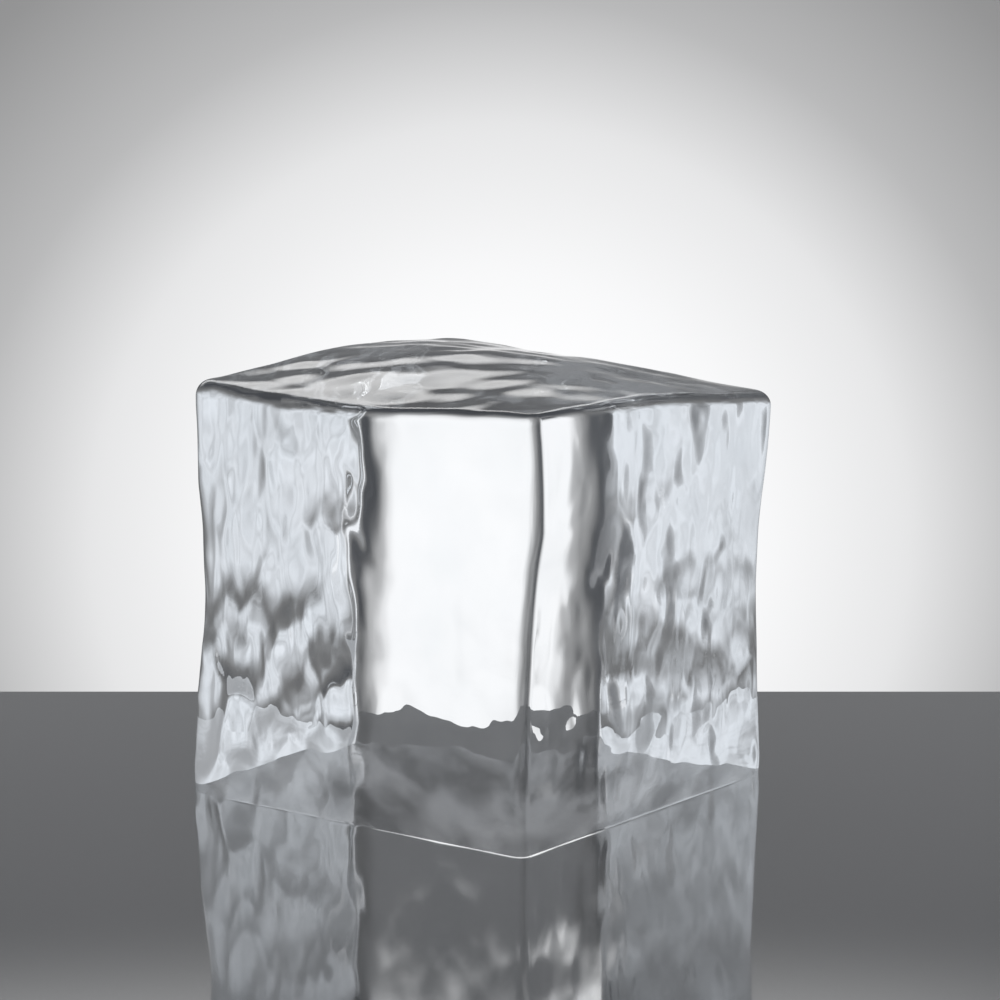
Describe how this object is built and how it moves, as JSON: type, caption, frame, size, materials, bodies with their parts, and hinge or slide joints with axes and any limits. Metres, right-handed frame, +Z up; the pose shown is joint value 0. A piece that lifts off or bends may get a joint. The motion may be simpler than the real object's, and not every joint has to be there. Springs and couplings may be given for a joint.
{
  "type": "ice block",
  "caption": "Solid block of clear ice with hollowed, dimpled sides, softly rounded edges, a humped top and a flat base to stand on.",
  "frame": {"origin": "middle of the flat base, on the surface that the block stands on", "axes": "+Z up, from the base to the top; +X and +Y are normal to two neighbouring sides, and the top is lowest at the +X +Y corner and highest between its middle and the -X +Y corner"},
  "size_m": [0.106, 0.105, 0.1067],
  "materials": {
    "ice": "clear, smooth and wet, with a faint blue cast; index of refraction 1.31"
  },
  "bodies": {
    "root": {"ice_block": "ice"}
  },
  "joints": []
}
